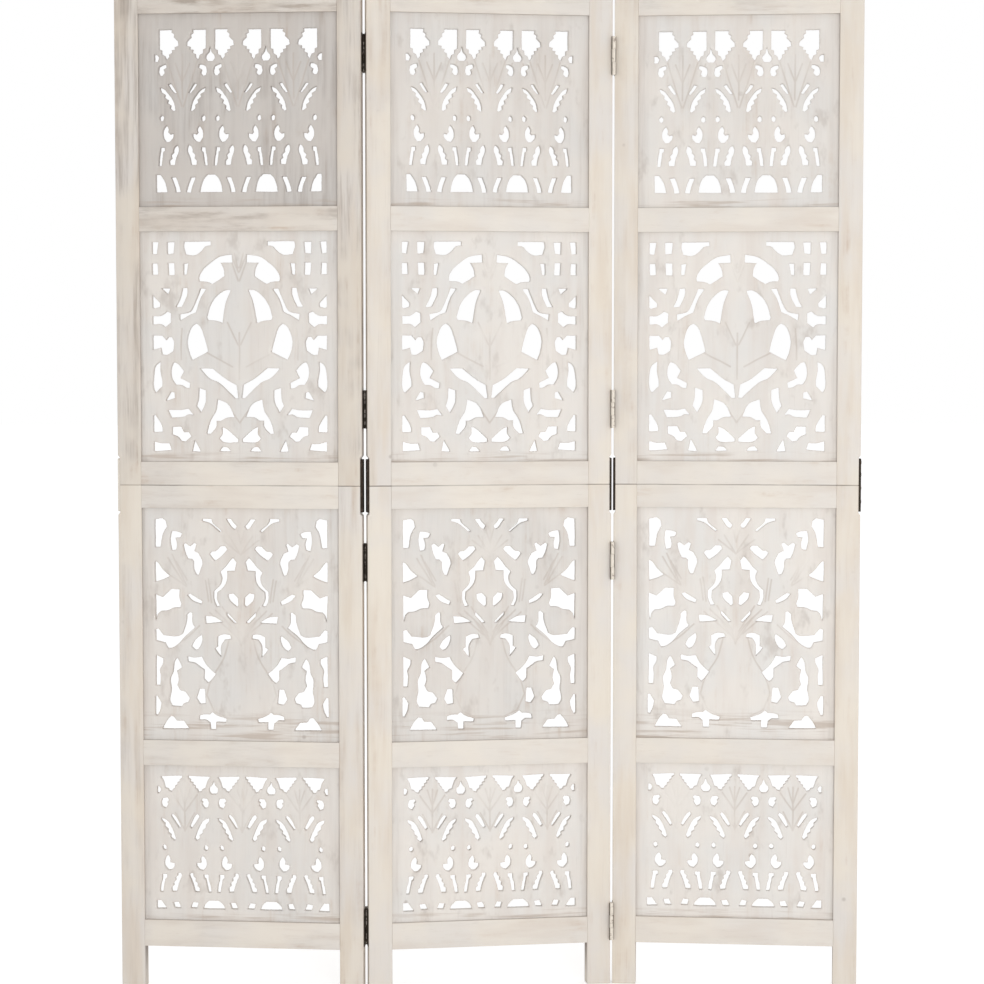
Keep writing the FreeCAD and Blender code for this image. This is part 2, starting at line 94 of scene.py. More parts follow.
# Angles in degrees, past which an edge is shaded hard.
carving_edge = 55
frame_edge = 50
steel_edge = 40

# Carving, in metres.
rim_step = 0.006
edge_step = 0.0017
knife_slip = 0.0002
hole_easing = 0.0006
edge_rounding = 0.0012
ring_distances = (0.0004, 0.0012)
fill_step = 0.0028
fill_from_holes = 0.0026
fill_from_veins = 0.0016
back_step = 0.0065
back_from_holes = 0.003
vein_step = 0.0024
vein_half_width = 0.0025
vein_depth = 0.0005
vein_from_rings = 0.0005
swell_depth = 0.0006
swell_reach = 0.004
swell_fade = 0.003
wobble = 0.0007
wobble_wavelength = 0.030
wobble_fade = 0.02
wobble_seed = 7
wobble_seed_step = 7.3
border_from_share = 0.44
border_fade_share = 0.05
plain_foot = 0.016
vase_foot = 0.050
foot_full_share = 0.4
far_away = 1.0

# Outlines of the pierced holes in thousandths of the opening: across from its middle, up from its foot.
arch_shares = [
    [(440, 906), (419, 904), (410, 953), (440, 953)],
    [(362, 904), (333, 907), (328, 952), (363, 952)],
    [(278, 954), (144, 955), (143, 940), (168, 937), (190, 918), (222, 900), (270, 902), (281, 935)],
    [(440, 815), (413, 815), (415, 861), (440, 861)],
    [(358, 813), (329, 813), (331, 863), (361, 863)],
    [(280, 859), (258, 861), (262, 845), (268, 815), (281, 813)],
    [(38, 900), (36, 868), (98, 866), (82, 840), (76, 808), (112, 787), (138, 774), (160, 783), (202, 786),
     (204, 800), (186, 832), (150, 862), (104, 888)],
    [(393, 752), (352, 752), (362, 729)],
    [(440, 722), (404, 688), (405, 675), (432, 668), (440, 672)],
    [(288, 753), (266, 754), (266, 728), (292, 676), (320, 674), (300, 710)],
    [(196, 752), (170, 750), (196, 716), (222, 652), (262, 636), (300, 616), (303, 640), (250, 652),
     (236, 668), (212, 716)],
    [(46, 744), (70, 690), (88, 604), (112, 613), (160, 618), (166, 628), (146, 682), (112, 722), (72, 744)],
    [(440, 632), (402, 633), (368, 652), (349, 644), (350, 606), (378, 586), (398, 599), (440, 599)],
    [(440, 548), (394, 548), (374, 528), (362, 541), (344, 541), (334, 522), (338, 484), (372, 466),
     (394, 468), (400, 498), (440, 488)],
    [(218, 600), (200, 586), (178, 534), (162, 480), (242, 444), (256, 474), (266, 520), (258, 556),
     (240, 588)],
    [(402, 434), (428, 416), (438, 380), (438, 318), (428, 302), (396, 330), (396, 350), (404, 395)],
    [(336, 432), (320, 428), (285, 396), (304, 364), (254, 342), (256, 322), (276, 324), (300, 336),
     (328, 338), (346, 366), (346, 412)],
    [(200, 404), (138, 405), (62, 354), (18, 334), (10, 278), (24, 278), (62, 310), (112, 348), (154, 364)],
    [(350, 303), (334, 300), (332, 278), (374, 267)],
    [(208, 320), (174, 310), (176, 262), (200, 216), (221, 244), (212, 268)],
    [(112, 270), (62, 250), (30, 196), (70, 194), (98, 181), (120, 180), (122, 154), (152, 123), (170, 124),
     (150, 180), (122, 222)],
    [(366, 224), (300, 223), (262, 229), (240, 204), (264, 207), (282, 198), (350, 193)],
    [(440, 200), (430, 202), (400, 155), (397, 133), (440, 131)],
    [(344, 150), (300, 150), (286, 126), (262, 126), (252, 110), (280, 89), (300, 92), (318, 110),
     (344, 120)],
    [(90, 150), (66, 140), (12, 98), (12, 87), (86, 89), (104, 102), (90, 120)],
    [(438, 86), (404, 78), (362, 78), (352, 52), (438, 47)],
    [(231, 92), (202, 45), (242, 46)],
    [(104, 47), (52, 47), (66, 60), (90, 63)],
]
vase_shares = [
    [(437, 947), (400, 953), (384, 942), (379, 920), (398, 892), (412, 832), (437, 831)],
    [(354, 898), (325, 896), (302, 888), (312, 873), (336, 872), (328, 840), (332, 822), (352, 818),
     (360, 862)],
    [(294, 840), (284, 846), (260, 832), (238, 847), (230, 842), (241, 813), (216, 802), (198, 765),
     (206, 740), (217, 713), (228, 714), (238, 734), (240, 770), (252, 781), (272, 782), (285, 808)],
    [(160, 802), (150, 811), (130, 812), (104, 833), (80, 833), (71, 822), (100, 796), (134, 775),
     (144, 784)],
    [(195, 951), (150, 951), (146, 938), (98, 900), (106, 898), (160, 935), (195, 944)],
    [(72, 951), (50, 951), (35, 933), (22, 922), (30, 910), (38, 912), (60, 935)],
    [(40, 786), (24, 768), (33, 732), (72, 730), (74, 692), (90, 664), (122, 640), (124, 608), (110, 580),
     (124, 578), (137, 606), (138, 640), (104, 672), (96, 700), (106, 724), (80, 745), (56, 772)],
    [(438, 768), (428, 764), (396, 730), (366, 708), (400, 694), (437, 683)],
    [(438, 626), (400, 614), (356, 649), (316, 648), (316, 610), (306, 588), (312, 572), (350, 570),
     (380, 559), (412, 556), (426, 544), (435, 518)],
    [(274, 626), (258, 629), (200, 598), (206, 587), (250, 604)],
    [(66, 628), (40, 632), (19, 614), (17, 584), (24, 577), (60, 606)],
    [(185, 534), (140, 530), (98, 510), (180, 505)],
    [(72, 550), (26, 508), (36, 506), (72, 538)],
    [(438, 474), (424, 478), (398, 450), (320, 446), (301, 454), (279, 512), (276, 540), (260, 552),
     (252, 548), (249, 500), (237, 487), (292, 446), (318, 420), (362, 397), (378, 397), (392, 420),
     (437, 428)],
    [(202, 452), (200, 436), (222, 396), (236, 390), (253, 404), (238, 428)],
    [(120, 446), (90, 456), (58, 453), (54, 440), (86, 436), (104, 410), (104, 362), (134, 394), (120, 402)],
    [(437, 364), (402, 350), (404, 332), (420, 302), (416, 280), (418, 236), (438, 236)],
    [(330, 354), (307, 316), (332, 300), (324, 262), (332, 236), (316, 212), (290, 206), (268, 180),
     (276, 164), (300, 158), (308, 145), (356, 147), (368, 168), (360, 215), (364, 264), (350, 290),
     (343, 335)],
    [(276, 360), (240, 354), (204, 358), (186, 330), (148, 296), (134, 288), (158, 260), (172, 249),
     (190, 264), (190, 304), (214, 318), (240, 334), (274, 340)],
    [(214, 220), (190, 220), (185, 160), (212, 156), (230, 180)],
    [(441, 186), (432, 188), (413, 158), (420, 130), (434, 104), (442, 108)],
    [(364, 100), (350, 99), (334, 81), (298, 80), (272, 48), (406, 48), (388, 76)],
    [(150, 120), (128, 106), (80, 92), (84, 79), (134, 80), (134, 48), (160, 48), (163, 76), (184, 88),
     (217, 88), (214, 104), (190, 110), (164, 110)],
]
tall_pitch_share = 280
tall_bud_shares = [
    [(117, 918), (52, 918), (56, 904), (42, 894), (45, 880), (24, 858), (22, 838), (42, 832), (39, 819),
     (56, 816), (53, 802), (68, 794), (68, 780), (80, 766), (88, 788), (103, 796), (104, 816), (117, 821)],
    [(121, 700), (118, 726), (98, 738), (85, 739), (82, 726), (98, 714), (92, 696), (104, 682), (116, 686)],
    [(72, 636), (60, 640), (45, 615), (32, 594), (40, 592), (55, 610)],
    [(114, 620), (92, 608), (70, 581), (49, 546), (39, 503), (46, 498), (63, 513), (60, 528), (77, 542),
     (72, 557), (91, 571), (88, 586), (108, 600)],
    [(105, 476), (114, 466), (113, 452), (105, 446), (97, 452), (96, 466)],
    [(82, 422), (73, 404), (76, 388), (66, 376), (50, 380), (51, 364), (68, 342), (85, 340), (98, 363),
     (99, 392), (91, 411)],
    [(112, 310), (94, 310), (94, 294), (102, 288), (106, 255), (111, 217), (123, 217), (120, 258),
     (114, 290)],
    [(28, 321), (22, 300), (36, 255), (42, 221), (66, 221), (68, 240), (56, 254), (60, 270), (47, 284),
     (47, 300), (37, 316)],
    [(60, 154), (38, 154), (20, 100), (16, 80), (38, 78), (42, 104)],
]
tall_between_shares = [
    [(0, 828), (6, 802), (20, 784), (22, 772), (13, 758), (-13, 758), (-22, 772), (-20, 784), (-6, 802)],
    [(56, 80), (50, 115), (36, 150), (18, 168), (-18, 168), (-36, 150), (-50, 115), (-56, 80)],
]
tall_end_shares = [
    [(0, 790), (-12, 788), (-22, 775), (-14, 756), (0, 756)],
    [(-4, 80), (-58, 80), (-46, 130), (-24, 168), (-4, 168)],
]
short_pitch_share = 294
short_bud_shares = [
    [(126, 921), (16, 926), (19, 912), (30, 904), (28, 892), (41, 885), (40, 872), (53, 864), (53, 850),
     (64, 842), (68, 827), (80, 831), (88, 846), (101, 850), (106, 870), (113, 896)],
    [(121, 757), (113, 780), (90, 784), (84, 770), (94, 758), (88, 746), (102, 720), (117, 730)],
    [(66, 680), (54, 668), (24, 600), (32, 592), (50, 625), (72, 666)],
    [(124, 655), (94, 636), (68, 582), (50, 524), (58, 512), (74, 530), (72, 546), (89, 562), (88, 580),
     (105, 600), (104, 618), (120, 638)],
    [(107, 482), (116, 470), (114, 455), (106, 449), (98, 456), (99, 472)],
    [(88, 412), (79, 390), (80, 366), (56, 362), (58, 342), (76, 322), (88, 320), (105, 346), (107, 372),
     (98, 400)],
    [(118, 290), (95, 290), (96, 270), (105, 262), (111, 222), (117, 178), (130, 178), (126, 222),
     (118, 258)],
    [(24, 299), (20, 286), (36, 238), (48, 183), (69, 181), (71, 204), (59, 218), (61, 234), (49, 250),
     (51, 266), (39, 280), (38, 299)],
    [(64, 108), (38, 112), (26, 76), (56, 76)],
]
short_between_shares = [
    [(0, 896), (7, 868), (20, 848), (21, 832), (12, 814), (-12, 814), (-21, 832), (-20, 848), (-7, 868)],
    [(56, 72), (46, 98), (24, 122), (-24, 122), (-46, 98), (-56, 72)],
]
short_end_shares = [
    [(-5, 858), (-14, 856), (-22, 838), (-14, 817), (-5, 817)],
    [(0, 68), (-50, 70), (-22, 118), (0, 118)],
]

# Lines cut into the faces, in the same thousandths.
arch_vein_shares = [
    [(33, 890), (3, 825)], [(22, 905), (5, 842)], [(34, 862), (4, 786)],
    [(60, 605), (7, 510)], [(168, 475), (34, 414)], [(0, 560), (0, 360)],
    [(290, 580), (296, 510), (296, 445)], [(50, 230), (0, 170)],
]
vase_vein_shares = [
    [(60, 880), (0, 800)], [(20, 910), (0, 850)], [(90, 860), (5, 805)],
    [(130, 560), (20, 460), (0, 410)], [(95, 575), (15, 465)], [(160, 550), (35, 455)],
    [(80, 520), (10, 430)],
    [(373, 718), (280, 664)], [(350, 800), (280, 670)], [(370, 785), (295, 680)], [(330, 770), (275, 690)],
    [(165, 695), (149, 595)], [(180, 690), (164, 600)],
    [(60, 440), (90, 355), (155, 260), (177, 195), (140, 125), (65, 95)],
    [(95, 97), (0, 97)], [(85, 67), (0, 67)], [(373, 395), (280, 440), (210, 495)],
]
tall_vein_shares = [
    [(76, 756), (44, 650), (4, 520)], [(36, 745), (3, 655)], [(0, 790), (0, 560)],
]
tall_between_vein_shares = [
    [(-26, 748), (-48, 690)], [(26, 748), (48, 690)],
]
short_vein_shares = [
    [(64, 812), (2, 700)], [(26, 846), (2, 750)], [(0, 850), (0, 570)], [(50, 690), (2, 580)],
]


def shifted(outline, across_share):
    return [(across + across_share, up) for across, up in outline]


def both_sides(lines):
    return [side for line in lines for side in (line, [(-across, up) for across, up in line])]


def frieze(bud, between, ends, pitch_share):
    """Every line of a frieze of three buds."""
    lines = []
    for bud_place in (-pitch_share, 0, pitch_share):
        lines += [shifted(line, bud_place) for line in both_sides(bud)]
    for place in (-pitch_share / 2, pitch_share / 2):
        lines += [shifted(line, place) for line in between]
    lines += both_sides([shifted(line, pitch_share * 3 / 2) for line in ends])
    return lines


# Carved boards. The seed keeps their small unevenness the same each time the script runs.

noise.seed_set(wobble_seed)


def drawn_edge(corners, step, closed=True):
    """Points along a line through the corners, curved where it turns gently."""
    gentle = 0.78
    corners = [Vector(corner) for corner in corners]
    count = len(corners)
    spans = count if closed else count - 1
    ahead = [corners[(i + 1) % count] - corners[i] for i in range(spans)]
    ways_in, ways_out = [], []
    for i in range(count):
        before = ahead[i - 1].normalized() if closed or i > 0 else ahead[0].normalized()
        after = ahead[i].normalized() if i < spans else before
        if before.dot(after) > gentle:
            before = after = (before + after).normalized()
        ways_in.append(before)
        ways_out.append(after)
    points = []
    for i in range(spans):
        start, end = corners[i], corners[(i + 1) % count]
        length = ahead[i].length
        leaving, arriving = ways_out[i] * length, ways_in[(i + 1) % count] * length
        steps = max(1, round(length / step))
        for k in range(steps):
            t = k / steps
            points.append(start * (2 * t ** 3 - 3 * t ** 2 + 1) + leaving * (t ** 3 - 2 * t ** 2 + t)
                          + end * (3 * t ** 2 - 2 * t ** 3) + arriving * (t ** 3 - t ** 2))
    if not closed:
        points.append(corners[-1])
    return np.array([(point.x, point.y) for point in points])


def counter_clockwise(loop):
    following = np.roll(loop, -1, axis=0)
    area = np.sum(loop[:, 0] * following[:, 1] - following[:, 0] * loop[:, 1])
    return loop if area > 0 else loop[::-1]


def square_to(way):
    """Directions at right angles to these, on their right."""
    way = way / np.maximum(np.linalg.norm(way, axis=1), 1e-9)[:, None]
    return np.stack((way[:, 1], -way[:, 0]), axis=1)


def outwards(loop):
    """Directions away from a hole, at each point of its edge."""
    return square_to(np.roll(loop, -1, axis=0) - np.roll(loop, 1, axis=0))


def hand_cut(loop, rng):
    """The edge of a hole, eased outwards and a little uneven from the knife."""
    slips = np.array([rng.uniform(-knife_slip, knife_slip) for _ in loop])
    return loop + outwards(loop) * (hole_easing + slips)[:, None]


def inside(points, loop):
    """Which of the points lie inside the loop."""
    found = np.zeros(len(points), bool)
    low, high = loop.min(axis=0), loop.max(axis=0)
    near = np.where(np.all((points > low) & (points < high), axis=1))[0]
    if not len(near):
        return found
    across, up = points[near, 0][:, None], points[near, 1][:, None]
    following = np.roll(loop, -1, axis=0)
    crosses = (loop[:, 1] > up) != (following[:, 1] > up)
    rise = np.where(following[:, 1] == loop[:, 1], 1e-12, following[:, 1] - loop[:, 1])
    at = loop[:, 0] + (up - loop[:, 1]) * (following[:, 0] - loop[:, 0]) / rise
    found[near] = (np.sum(crosses & (across < at), axis=1) % 2) == 1
    return found


def tree_of(points):
    tree = kdtree.KDTree(len(points))
    for index, (across, up) in enumerate(points):
        tree.insert((across, up, 0), index)
    tree.balance()
    return tree


def nearest(tree, points):
    return np.array([tree.find((across, up, 0))[2] for across, up in points])


def filling(low, high, step, rng):
    """Points in a loose honeycomb between two corners."""
    rows = []
    row_step = step * math.sqrt(3) / 2
    for row in range(1, int((high[1] - low[1]) / row_step)):
        for place in range(1, int((high[0] - low[0]) / step)):
            rows.append((low[0] + step * (place + row % 2 / 2) + rng.uniform(-0.2, 0.2) * step,
                         low[1] + row_step * row + rng.uniform(-0.2, 0.2) * step))
    return np.array(rows)


def rounded(distance):
    """How far an edge is rounded away at this distance from it."""
    share = np.clip(1 - distance / edge_rounding, 0, 1)
    return edge_rounding * (1 - np.sqrt(1 - share ** 2))


def cut_depth(points, veins):
    """Depth of the cut lines under each point."""
    depth = np.zeros(len(points))
    for line in veins:
        for start, end in zip(line[:-1], line[1:]):
            along = end - start
            share = np.clip(((points - start) @ along) / max(along @ along, 1e-12), 0, 1)
            distance = np.linalg.norm(points - start - share[:, None] * along, axis=1)
            share = np.clip(distance / vein_half_width, 0, 1)
            depth = np.maximum(depth, vein_depth * (1 - share ** 2) ** 2)
    return depth


def points_on_veins(veins):
    """Points on the cut lines and beside them, thinned where lines meet."""
    taken, chosen = set(), []
    for line in veins:
        beside = square_to(np.gradient(line, axis=0)) * vein_half_width
        for share in (0, -0.5, 0.5, -1, 1):
            for point in line + beside * share:
                place = tuple(np.round(point / (vein_half_width * 0.4)).astype(int))
                if place not in taken:
                    taken.add(place)
                    chosen.append(point)
    return np.array(chosen)


def triangles(points, loops):
    """Delaunay triangles between the outer loop and the holes."""
    edges = []
    for first, count in loops:
        edges += [(first + i, first + (i + 1) % count) for i in range(count)]
    made = delaunay_2d_cdt([Vector(point) for point in points], edges, [], 0, 1e-9)
    if len(made[0]) != len(points):
        print("outlines cross:", len(made[0]) - len(points))
    back_to = [sources[0] if sources else 0 for sources in made[3]]
    faces = np.array([[back_to[corner] for corner in face] for face in made[2] if len(face) == 3])
    middles = points[faces].mean(axis=1)
    keep = np.ones(len(faces), bool)
    for first, count in loops[1:]:
        keep &= ~inside(middles, points[first:first + count])
    return faces[keep]


def carved_board(hole_shares, vein_shares, height):
    """Points, faces and hollows of a pierced board, its front towards -y and its opening's foot at zero."""
    rng = random.Random(len(hole_shares))
    scale = np.array((opening_width, height)) / 1000
    holes = [counter_clockwise(drawn_edge(np.array(share) * scale, edge_step)) for share in hole_shares]
    holes = [hand_cut(hole, rng) for hole in holes]
    veins = [drawn_edge(np.array(share) * scale, vein_step, closed=False) for share in vein_shares]
    low = np.array((-opening_width / 2 - board_entry, -board_entry))
    high = np.array((opening_width / 2 + board_entry, height + board_entry))
    rim = drawn_edge([(low[0], low[1]), (high[0], low[1]), (high[0], high[1]), (low[0], high[1])], rim_step)
    loops, first = [], 0
    for loop in [rim] + holes:
        loops.append((first, len(loop)))
        first += len(loop)
    edges = np.concatenate([rim] + holes)
    hole_tree = tree_of(np.concatenate(holes))

    rings = []
    for distance in ring_distances:
        for hole in holes:
            ring = hole + outwards(hole) * distance
            rings.append((distance, ring[nearest(hole_tree, ring) > distance * 0.9]))
    on_veins = points_on_veins(veins)
    on_veins = on_veins[nearest(hole_tree, on_veins) > ring_distances[1] + vein_from_rings]
    fill = filling(low, high, fill_step, rng)
    fill = fill[(nearest(hole_tree, fill) > fill_from_holes)
                & (nearest(tree_of(on_veins), fill) > fill_from_veins)]
    edge_distances = np.concatenate([np.full(len(rim), far_away), np.zeros(first - len(rim))])
    front = np.concatenate([edges] + [ring for distance, ring in rings] + [on_veins, fill])
    distances = np.concatenate([edge_distances] + [np.full(len(ring), distance) for distance, ring in rings]
                               + [np.full(len(on_veins) + len(fill), far_away)])

    back_fill = filling(low, high, back_step, rng)
    back_fill = back_fill[nearest(hole_tree, back_fill) > back_from_holes]
    near_ring = np.concatenate([ring for distance, ring in rings if distance == ring_distances[0]])
    back = np.concatenate([edges, near_ring, back_fill])
    back_distances = np.concatenate([edge_distances, np.full(len(near_ring), ring_distances[0]),
                                     np.full(len(back_fill), far_away)])

    def depth_of(points, away, cuts):
        within = np.clip((opening_width / 2 - np.abs(points[:, 0])) / swell_fade, 0, 1)
        swell = swell_depth * np.exp(-nearest(hole_tree, points) / swell_reach) * within
        return rounded(away) + swell + cut_depth(points, cuts)

    front_depth, back_depth = depth_of(front, distances, veins), depth_of(back, back_distances, [])
    front_faces, back_faces = triangles(front, loops), triangles(back, loops)
    points = np.concatenate([
        np.stack((front[:, 0], front_depth - board_thickness / 2, front[:, 1]), axis=1),
        np.stack((back[:, 0], board_thickness / 2 - back_depth, back[:, 1]), axis=1)])
    over = len(front)
    faces = [tuple(face) for face in front_faces.tolist()]
    faces += [(a + over, c + over, b + over) for a, b, c in back_faces.tolist()]
    for number, (start, count) in enumerate(loops):
        for i in range(count):
            a, b = start + i, start + (i + 1) % count
            faces.append((b, a, a + over, b + over) if number == 0 else (a, b, b + over, a + over))
    hollow = np.concatenate([cut_depth(front, veins) / vein_depth, np.zeros(len(back))])
    return points, faces, hollow


def column_place(column):
    """Where a column stands, from its top rail, and how it is turned."""
    low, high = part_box(column + "_top_rail")
    turn = rest_turn if column == "centre" else -rest_turn
    return Matrix.Translation(((low.x + high.x) / 2, (low.y + high.y) / 2, 0)) @ Matrix.Rotation(turn, 4, "Z")


def new_piece(name, mesh, body, material):
    piece = bpy.data.objects.new(name, mesh)
    bpy.context.scene.collection.objects.link(piece)
    mesh.materials.clear()
    mesh.materials.append(material)
    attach(piece, body)
    return piece


def shade_by_angle(mesh, degrees):
    mesh.polygons.foreach_set("use_smooth", [True] * len(mesh.polygons))
    mesh.set_sharp_from_angle(angle=math.radians(degrees))


def spread(mesh, name, numbers):
    mesh.attributes.new(name, "FLOAT", "POINT").data.foreach_set("value", np.asarray(numbers, np.float32))


def own_look(mesh, seed, greyed):
    spread(mesh, "own_grain", [seed] * len(mesh.vertices))
    spread(mesh, "greyed", [greyed] * len(mesh.vertices))


def set_board(design, column, node, base, seed, greyed):
    """One column's copy of a carved board, a little different in each."""
    points, faces, hollow = design
    sides, ups = np.abs(points[:, 0]), points[:, 2]
    moved = points.copy()
    for index, (across, out, up) in enumerate(points):
        within = min(1, max(0, (opening_width / 2 - abs(across)) / wobble_fade))
        drift = noise.noise_vector((across / wobble_wavelength, up / wobble_wavelength,
                                    seed * wobble_seed_step))
        moved[index] += np.array((drift.x, 0, drift.z)) * wobble * within
    mesh = bpy.data.meshes.new(f"{column}_{node}_carving")
    mesh.from_pydata(moved.tolist(), [], faces)
    spread(mesh, "hollow", hollow)
    spread(mesh, "border", np.clip((sides / opening_width - border_from_share) / border_fade_share, 0, 1))
    foot = vase_foot if node == "vase_board" else plain_foot
    spread(mesh, "foot", np.clip(1 - ups / foot, 0, foot_full_share) / foot_full_share)
    own_look(mesh, seed, greyed)
    mesh.transform(column_place(column) @ Matrix.Translation((0, 0, base)))
    mesh.validate()
    shade_by_angle(mesh, carving_edge)
    piece = new_piece(f"{column}_{node}_carving", mesh, column + "_column", board_wood)
    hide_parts(f"{column}_{node}")


# Frame members with eased edges.

def eased(node):
    """A copy of a frame member with its corners eased."""
    corner_angle = 0.6
    shape = bmesh.new()
    shape.from_mesh(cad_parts[node].data)
    bmesh.ops.remove_doubles(shape, verts=shape.verts, dist=1e-6)
    bmesh.ops.dissolve_limit(shape, angle_limit=math.radians(1), verts=shape.verts, edges=shape.edges)
    corners = [edge for edge in shape.edges
               if edge.is_manifold and edge.calc_face_angle_signed() > corner_angle]
    bmesh.ops.bevel(shape, geom=corners, offset=frame_easing, segments=2, profile=0.5, affect="EDGES",
                    clamp_overlap=True)
    mesh = bpy.data.meshes.new(node + "_eased")
    shape.to_mesh(mesh)
    shape.free()
    shade_by_angle(mesh, frame_edge)
    upright = column_place(node.split("_")[0]).inverted()
    depths = [abs((upright @ vertex.co).y) for vertex in mesh.vertices]
    # Faces that reach into the board's groove are marked, for painted shade beside the board.
    spread(mesh, "hollow", [1.0 if depth < groove_reach else 0.0 for depth in depths])
    return mesh


# Nodes, for the screws, the finishes and the backdrop.

class Tree:
    """Short ways to add nodes to one tree."""

    def __init__(self, tree):
        self.tree = tree

    def give(self, target, value):
        if isinstance(value, bpy.types.NodeSocket):
            self.tree.links.new(value, target)
        else:
            target.default_value = value

    def node(self, kind, inputs=None, **settings):
        """A new node with its settings, each input joined to a socket or set to a value."""
        made = self.tree.nodes.new(kind)
        for name, value in settings.items():
            setattr(made, name, value)
        for name, value in (inputs or {}).items():
            self.give(made.inputs[name], value)
        return made

    def maths(self, operation, first, second, clamp=False):
        made = self.node("ShaderNodeMath", {0: first, 1: second}, operation=operation, use_clamp=clamp)
        return made.outputs[0]

    def sees_background(self):
        """One for a ray that sees the floor or the backdrop, straight or in metal or glass."""
        rays = self.node("ShaderNodeLightPath").outputs
        straight = self.maths("MAXIMUM", rays["Is Camera Ray"], rays["Is Glossy Ray"])
        return self.maths("MAXIMUM", straight, rays["Is Transmission Ray"])


# Steelwork: plates, leaves, knuckles and screws.

def screw_tree():
    """Screws with a cross slot on every point, turned at random about the way that each point faces."""
    group = bpy.data.node_groups.new("screws_on_points", "GeometryNodeTree")
    for name, kind in (("Geometry", "Geometry"), ("Head radius", "Float"), ("Head height", "Float"),
                       ("Slot width", "Float"), ("Seed", "Int"), ("Finish", "Material")):
        group.interface.new_socket(name, in_out="INPUT", socket_type="NodeSocket" + kind)
    group.interface.new_socket("Geometry", in_out="OUTPUT", socket_type="NodeSocketGeometry")
    tree = Tree(group)
    given = tree.node("NodeGroupInput").outputs
    radius, height = given["Head radius"], given["Head height"]

    head = tree.node("GeometryNodeMeshUVSphere", {"Segments": 18, "Rings": 8, "Radius": 1})
    size = tree.node("ShaderNodeCombineXYZ", {"X": radius, "Y": radius, "Z": height})
    shape = tree.node("GeometryNodeTransform", {"Geometry": head.outputs["Mesh"], "Scale": size.outputs[0]})
    cut = tree.node("GeometryNodeMeshBoolean", {"Mesh 1": shape.outputs[0]}, operation="DIFFERENCE")
    raised = tree.node("ShaderNodeCombineXYZ", {"Z": height})
    for long, short in (("X", "Y"), ("Y", "X")):
        spans = tree.node("ShaderNodeCombineXYZ", {long: radius, short: given["Slot width"], "Z": height})
        bar = tree.node("GeometryNodeMeshCube", {"Size": spans.outputs[0]})
        slot = tree.node("GeometryNodeTransform",
                         {"Geometry": bar.outputs["Mesh"], "Translation": raised.outputs[0]})
        tree.give(cut.inputs["Mesh 2"], slot.outputs[0])

    facing = tree.node("GeometryNodeInputNamedAttribute", {"Name": "facing"}, data_type="FLOAT_VECTOR")
    aim = tree.node("FunctionNodeAlignRotationToVector", {"Vector": facing.outputs["Attribute"]}, axis="Z")
    spin = tree.node("FunctionNodeRandomValue", {3: math.pi, "Seed": given["Seed"]}, data_type="FLOAT")
    about = tree.node("FunctionNodeAxisAngleToRotation", {"Axis": (0, 0, 1), "Angle": spin.outputs[1]})
    turned = tree.node("FunctionNodeRotateRotation",
                       {"Rotation": aim.outputs[0], "Rotate By": about.outputs[0]}, rotation_space="LOCAL")
    each = tree.node("GeometryNodeInstanceOnPoints",
                     {"Points": given["Geometry"], "Instance": cut.outputs["Mesh"],
                      "Rotation": turned.outputs[0]})
    real = tree.node("GeometryNodeRealizeInstances", {0: each.outputs[0]})
    finish = tree.node("GeometryNodeSetMaterial", {"Geometry": real.outputs[0], "Material": given["Finish"]})
    tree.node("NodeGroupOutput", {0: finish.outputs[0]})
    return group


screws_on_points = screw_tree()


def set_screws(name, column, spots, edge, radius, height, material):
    """Screw heads at the spots on one edge of a column, as one plain mesh."""
    place = column_place(column)
    way = place.to_3x3() @ Vector((edge, 0, 0))
    points = bpy.data.meshes.new(name + "_places")
    points.from_pydata([place @ Vector(spot) for spot in spots], [], [])
    facing = points.attributes.new("facing", "FLOAT_VECTOR", "POINT")
    facing.data.foreach_set("vector", list(way) * len(spots))
    carrier = bpy.data.objects.new(name + "_places", points)
    bpy.context.scene.collection.objects.link(carrier)
    modifier = carrier.modifiers.new("screws", "NODES")
    modifier.node_group = screws_on_points
    sockets = {item.name: item.identifier for item in screws_on_points.interface.items_tree
               if item.in_out == "INPUT"}
    modifier[sockets["Head radius"]] = radius
    modifier[sockets["Head height"]] = height
    modifier[sockets["Slot width"]] = radius / 5
    modifier[sockets["Seed"]] = len(name)
    modifier[sockets["Finish"]] = material
    evaluated = carrier.evaluated_get(bpy.context.evaluated_depsgraph_get())
    mesh = bpy.data.meshes.new_from_object(evaluated)
    bpy.data.objects.remove(carrier)
    mesh.name = name
    shade_by_angle(mesh, steel_edge)
    return new_piece(name, mesh, column + "_column", material)


def flat_bar(shape, out_low, out_high, corners, easing):
    """A flat bar between two planes across the column, its outline given by corners in depth and height."""
    square_angle = 0.9
    low = [shape.verts.new((out_low, y, z)) for y, z in corners]
    high = [shape.verts.new((out_high, y, z)) for y, z in corners]
    faces = [shape.faces.new(low[::-1]), shape.faces.new(high)]
    for i in range(len(corners)):
        faces.append(shape.faces.new((low[i - 1], low[i], high[i], high[i - 1])))
    for face in faces:
        face.normal_update()
    edges = dict.fromkeys(edge for face in faces for edge in face.edges
                          if edge.calc_face_angle(0) > square_angle)
    bmesh.ops.bevel(shape, geom=list(edges), offset=easing, segments=2, profile=0.5, affect="EDGES")


def rounded_corners(low, high, radius, which=(True, True, True, True), steps=6):
    """Corners of a rectangle, rounded at low-low, high-low, high-high and low-high."""
    outline = []
    places = [(low[0], low[1], 1, 1), (high[0], low[1], -1, 1), (high[0], high[1], -1, -1),
              (low[0], high[1], 1, -1)]
    for number, (y, z, inward_y, inward_z) in enumerate(places):
        if not which[number]:
            outline.append((y, z))
            continue
        start = math.pi * (1 + number / 2)
        for step in range(steps + 1):
            angle = start + math.pi / 2 * step / steps
            outline.append((y + inward_y * radius + radius * math.cos(angle),
                            z + inward_z * radius + radius * math.sin(angle)))
    return outline


